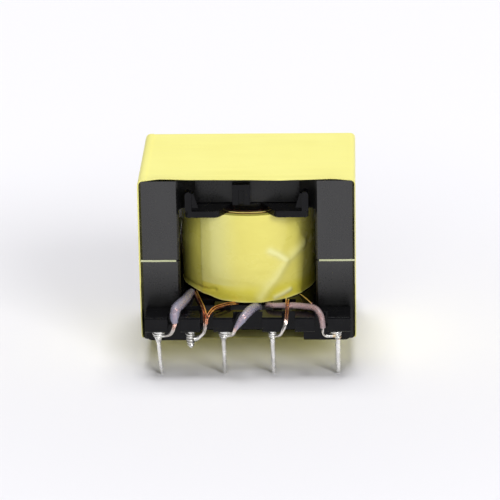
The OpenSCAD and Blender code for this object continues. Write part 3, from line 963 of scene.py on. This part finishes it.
def makeGapFilm(side, v):
    node = "gap_spacer_%s" % side
    low, high = [corner / mm for corner in map(Vector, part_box(node))]
    y = low.y - v["inset"]
    shoulder = y - v["proud"] * v["shoulder"]
    rings = []
    for i in range(v["steps"] + 1):
        x = low.x + (high.x - low.x) * i / v["steps"]
        shift = v["wander"] * ripple(x * v["waves"], 5.0, 0)
        foot, top = low.z - v["lip"] + shift, high.z + v["lip"] + shift
        ring = [(high.y, low.z), (high.y, high.z), (low.y, high.z), (y, top), (shoulder, top),
                (y - v["proud"], (foot + top) / 2), (shoulder, foot), (y, foot), (low.y, low.z)]
        rings.append([Vector((x, a, b)) * mm for a, b in ring])
    makePiece("gapFilm_" + side, skin(rings), "gapFilm", "gap_film", node)


makeGapFilm("left", gapFilm)
makeGapFilm("right", gapFilm)
print("gap film done")


# Pins
pinShape = {  # millimetres
    "radius": 0.37,
    "lumps": 0.02,
    "lumpWaves": (0.5, 3),  # how fine the lumps are round and along the pin
    "lean": {1: 0.40, 3: 0.12, 4: 0.15, 6: 0.05},   # how far the tip stands from its root
    "thin": {1: 0.13, 3: 0.05, 4: 0.02, 6: 0.03},   # how much the tip is slimmer than the root
    "plainThin": 0.03,
    "held": 0.25,           # share of the length that stays straight
    "bend": 1.5,
    "tip": 0.035,           # share of the length that is cut round
    "tipRound": 0.35,
    "steps": 40,
}


def makePin(number, v):
    node = "pin_2_stub" if number == 2 else "pin_%d" % number
    low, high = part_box(node)
    root = middle(node)
    lean = v["lean"].get(number, 0.0)
    thin = v["thin"].get(number, v["plainThin"])
    path = []
    for i in range(v["steps"] + 1):
        share = i / v["steps"]
        free = max(0.0, share - v["held"]) / (1 - v["held"])
        z = high[2] + (low[2] - high[2]) * share
        path.append(Vector((root.x + lean * mm * free ** v["bend"], root.y, z)))

    def radius(share, angle):
        across, down = v["lumpWaves"]
        x, y = math.cos(angle) * across, math.sin(angle) * across
        lump = v["lumps"] * ripple(x, y, share * down + number * 3)
        tip = max(0.0, share - (1 - v["tip"])) / v["tip"]
        return (v["radius"] - thin * share + lump) * (1 - v["tipRound"] * tip ** 2) * mm

    makePiece("pinPost_%d" % number, tube(path, radius, 18), "tin", "pin_metal", node)


for number in (1, 2, 3, 4, 6, 7, 8, 9, 10, 11, 12):
    makePin(number, pinShape)
print("pins done")


# Leads: routes in millimetres from the middle of the core, from the winding to the pin
routes = {
    "sleeve1": [(-9.0, -7.0, -6.8), (-9.3, -8.8, -6.5), (-9.7, -11.2, -6.3), (-10.3, -13, -6.3),
                (-10.9, -14.4, -6.5), (-11.1, -15.2, -7.0), (-11.2, -15.6, -7.7),
                (-11.1, -15.7, -8.4)],
    "tail1": [(-11.3, -16.0, -9.2), (-11.8, -16.1, -10.1), (-12.8, -15.6, -10.6),
              (-13.3, -15.6, -10.5)],
    "lead2a": [(-8.3, -6.9, -6.75), (-7.8, -9.3, -6.75), (-7, -12.6, -6.8), (-6.6, -14.2, -7.3),
               (-6.5, -15.1, -8.1), (-6.5, -15.4, -9.1), (-6.8, -15.6, -10.1), (-7.6, -15.5, -10.9),
               (-8.2, -15.5, -11.1)],
    "lead2b": [(-1.8, -10.1, -7.4), (-3.3, -11.9, -6.95), (-4.9, -13.4, -6.9), (-5.7, -15, -7.1),
               (-6.1, -16, -7.6), (-6.2, -16.2, -8.4)],
    "sleeve3": [(1.5, -9.6, -8.3), (1.4, -11.1, -7.9), (1.1, -12.3, -7.2), (0.4, -14.2, -6.9),
                (-0.3, -15.7, -7.1), (-1, -16.6, -7.8), (-1.8, -16.9, -8.9)],
    "tail3": [(-2.3, -16.6, -10), (-2.9, -15.6, -10.6), (-3.3, -15.5, -10.5)],
    "lead4": [(5.8, -8.7, -7.35), (6, -11.2, -6.4), (6.1, -13.1, -5.9), (6.1, -14.6, -6.8),
              (6, -15.8, -7.6), (5.8, -16.4, -8.4), (5.4, -16.6, -9.3), (4.9, -16.3, -10.2),
              (4.2, -15.6, -10.6)],
    "sleeve6": [(2.9, -9.4, -7.8), (2.9, -10.8, -7.6), (3.2, -11.9, -7), (4.4, -12.5, -6.85),
                (6.7, -12.5, -6.85), (8.8, -13, -6.85), (10.3, -13.8, -6.85), (11.1, -14.9, -7.4),
                (11.4, -15.5, -8.3), (11.5, -15.6, -9.3)],
    "tail6": [(11.5, -15.8, -10.1), (11.9, -15.8, -10.6), (12.8, -15.6, -10.65),
              (13.3, -15.5, -10.6)],
    "lead6b": [(7.9, -7.4, -7.0), (8.5, -9.4, -6.6), (9.1, -11.5, -6.3), (9.8, -13.4, -6.2)],
    "rearInner": [(6.2, 9.3, -6.7), (6.25, 11.6, -6.7), (6.25, 13.6, -7), (6.25, 15.1, -7.8),
                  (6.25, 15.6, -8.8), (6.1, 15.7, -9.7), (4.3, 15.5, -10.5)],
    "rearOuter": [(8.7, 6.7, -6.7), (9.6, 10.3, -6.7), (11, 13, -6.9), (11.25, 14.9, -7.6),
                  (11.25, 15.6, -8.7), (11.5, 15.7, -9.7), (13.2, 15.5, -10.5)],
}
bundle = {  # the strands of a lead, in millimetres
    "count": 4,
    "wire": 0.13,
    "spread": 0.2,
    "twists": 0.5,
    "gather": 0.45,         # how much they close up towards the pin
    "uneven": 0.3,          # how far a strand may stand from its even place, radians
    "stray": (0.75, 1.1),   # least and most spread of a strand, as a share
    "swell": 0.2,           # how much a strand wanders in and out, and how often
    "swells": 6,
}
leads = {  # lead: route, mirrored or not, finish, what its bundle changes
    "2a": ("lead2a", False, "dippedLow", {"spread": 0.26, "twists": 0.3}),
    "2b": ("lead2b", False, "dippedLow", {"count": 3, "spread": 0.3, "twists": 0.2}),
    "4": ("lead4", False, "dippedHigh", {"count": 3, "spread": 0.22, "twists": 0.4}),
    "7": ("rearOuter", False, "dippedLow", {}),
    "9": ("rearInner", False, "dippedLow", {}),
    "10": ("rearInner", True, "dippedLow", {}),
    "12": ("rearOuter", True, "dippedLow", {}),
}
rearLeads = ("7", "9", "10", "12")
fineLead = 0.1              # radius of the single fine wire
sleevedBundle = {**bundle, "count": 5, "twists": 0.6, "gather": 0.88}
sleevedSeed = 20
sleeves = {                 # radii from the winding to the cut end, spread of the strands, finish
    1: ((0.60, 0.74, 0.84, 0.78, 0.50), 0.36, "sleeve"),
    3: ((0.60, 0.70, 0.74, 0.66, 0.36), 0.34, "sleeve"),
    6: ((0.38, 0.42, 0.50, 0.50, 0.44), 0.2, "pinkSleeve"),
}
sleeveBore = 0.8            # share of the radius
sleeveCrush = 0.04          # how deep its uneven places are


def route(name, flip=False):
    return [atCore(-x if flip else x, y, z) for x, y, z in routes[name]]


def along(values, share):  # value at a share of the way through a list
    k = share * (len(values) - 1)
    i = min(int(k), len(values) - 2)
    t = k - i
    t = t * t * (3 - 2 * t)
    return values[i] + (values[i + 1] - values[i]) * t


def makeLead(name, key, flip, look, changes, seed):
    shape = strands(curve(route(key, flip), 6), {**bundle, **changes}, seed)
    node = "rear_lead_" + name if name in rearLeads else "lead_" + name
    makePiece("leadStrands_" + name, shape, look, "copper", node)


def makeSleevedLead(number, radii, spread, look):
    line = route("sleeve%d" % number)
    path = curve(line + route("tail%d" % number), 6)
    shape = strands(path, {**sleevedBundle, "spread": spread}, sleevedSeed + number)
    node = "lead_%d_wire" % number
    makePiece("sleevedStrands_%d" % number, shape, "sleevedWire", "tinned_wire", node)

    def radius(share, angle):
        crush = sleeveCrush * ripple(math.cos(angle), math.sin(angle), share * 4 + number)
        return (along(radii, share) + crush) * mm

    shape = pipe(curve(line, 8), radius, sleeveBore)
    makePiece("sleeve_%d" % number, shape, look, "sleeving", "lead_%d_sleeve" % number)


def makeFineLead():
    shape = tube(curve(route("lead6b"), 8), lambda share, angle: fineLead * mm, 8)
    makePiece("fineLead_6b", shape, "fineWire", "copper", "lead_6b")


for seed, (name, values) in enumerate(leads.items()):
    makeLead(name, *values, seed)
for number, values in sleeves.items():
    makeSleevedLead(number, *values)
makeFineLead()
print("leads done")


# Wire turns and solder on the pins
plainWrap = {  # millimetres
    "turns": 2.4,
    "top": 0.58,            # outer radius of the first turn
    "foot": 0.52,           # and of the last
    "wide": 1.0,            # how much wider than deep the first turns are
    "shift": 0.0,           # sideways
    "pitch": 0.37,
    "wire": 0.18,
    "cone": 0.8,            # length of the solder below the turns
    "core": 0.0,            # how far the solder between the turns lies back
    "tail": (0.1, 0.2),     # radius of the arriving lead and of its end
    "look": "tin",
}
wraps = {  # pin: the lead that arrives, mirrored or not, and what differs from the plain wrap
    1: ("tail1", False, {"turns": 2.2, "top": 0.82, "foot": 0.66, "wide": 1.3, "shift": 0.05}),
    2: ("lead2a", False, {"turns": 4.8, "top": 0.78, "foot": 0.58, "shift": -0.08, "pitch": 0.44,
                          "wire": 0.16, "core": 0.1, "cone": 0.2, "tail": (0.2, 0.48)}),
    3: ("tail3", False, {"turns": 2.0, "top": 0.86, "foot": 0.68, "wide": 1.4, "shift": 0.25,
                         "cone": 0.6, "tail": (0.14, 0.3)}),
    4: ("lead4", False, {"turns": 2.3, "top": 0.68, "foot": 0.62, "cone": 0.3}),
    6: ("tail6", False, {"turns": 2.2, "top": 0.78, "foot": 0.62, "wide": 1.4, "shift": -0.35,
                         "cone": 0.5, "tail": (0.24, 0.34), "look": "fluxTin"}),
    7: ("rearOuter", False, {}),
    9: ("rearInner", False, {}),
    10: ("rearInner", True, {}),
    12: ("rearOuter", True, {}),
}
wrapMesh = {
    "perTurn": 20,
    "wireSides": 12,
    "rings": 24,            # of the solder body
    "sides": 22,
    "lumps": 0.05,
    "least": 0.365,         # the solder is nowhere thinner than this
}


def makeWrap(number, key, flip, changes, mesh):
    v = {**plainWrap, **changes}
    node = "wrap_%d" % number
    axis = middle(node)
    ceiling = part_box(node)[1][2]
    arrival = route(key, flip)
    towards = arrival[-1] - axis
    start = math.atan2(towards.y, towards.x)
    wire, pitch = v["wire"], v["pitch"]
    top, foot = v["top"], v["foot"]

    def at(share, radius, angle, depth):
        fade = max(0.0, 1 - share ** 3)
        width = radius * (1 + (v["wide"] - 1) * fade)
        x = axis.x + (v["shift"] * fade + width * math.cos(angle)) * mm
        return Vector((x, axis.y + radius * mm * math.sin(angle), ceiling - depth * mm))

    perTurn = mesh["perTurn"]
    steps = int(v["turns"] * perTurn)
    line = []
    for i in range(steps + 1):
        r = top + (foot - top) * i / steps - wire
        angle = start + 2 * math.pi * i / perTurn
        line.append(at(i / steps, r, angle, wire + pitch * i / perTurn))
    coil = tube(line, lambda share, angle: wire * mm, mesh["wireSides"])

    # Solder body: radii from the top down to the pin, and how far down each of them lies
    drop = v["turns"] * pitch + wire
    back = wire + v["core"]
    body = [top - back * 1.5, top - back * 1.2, foot - back, foot - back * 0.4, pinShape["radius"]]
    depths = [0.02, drop * 0.4, drop * 0.85, drop + v["cone"] * 0.25, drop + v["cone"]]
    angles = [2 * math.pi * k / mesh["sides"] for k in range(mesh["sides"])]
    rings = []
    for i in range(mesh["rings"] + 1):
        share = i / mesh["rings"]
        radius, depth = along(body, share), along(depths, share)
        ring = []
        for a in angles:
            lump = mesh["lumps"] * ripple(math.cos(a), math.sin(a), share * 2 + number * 5)
            ring.append(at(depth / drop, max(mesh["least"], radius + lump), a, depth))
        rings.append(ring)
    first, last = v["tail"]
    end = curve(arrival[-3:], 8)
    tail = tube(end, lambda share, angle: (first + (last - first) * share) * mm, mesh["wireSides"])
    shape = join([coil, skin(rings), tail])
    makePiece("wireTurns_%d" % number, shape, v["look"], "solder", node)


for number, values in wraps.items():
    makeWrap(number, *values, wrapMesh)
print("wire turns done")


# Finishes on the solid parts that stay
nodeLooks = {
    "ferrite": ("core_top", "core_bottom"),
    "bobbin": ("bobbin",),
}
for look, nodes in nodeLooks.items():
    for node in nodes:
        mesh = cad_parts[node].data
        mesh.materials.clear()
        mesh.materials.append(looks[look])
print("finishes applied")
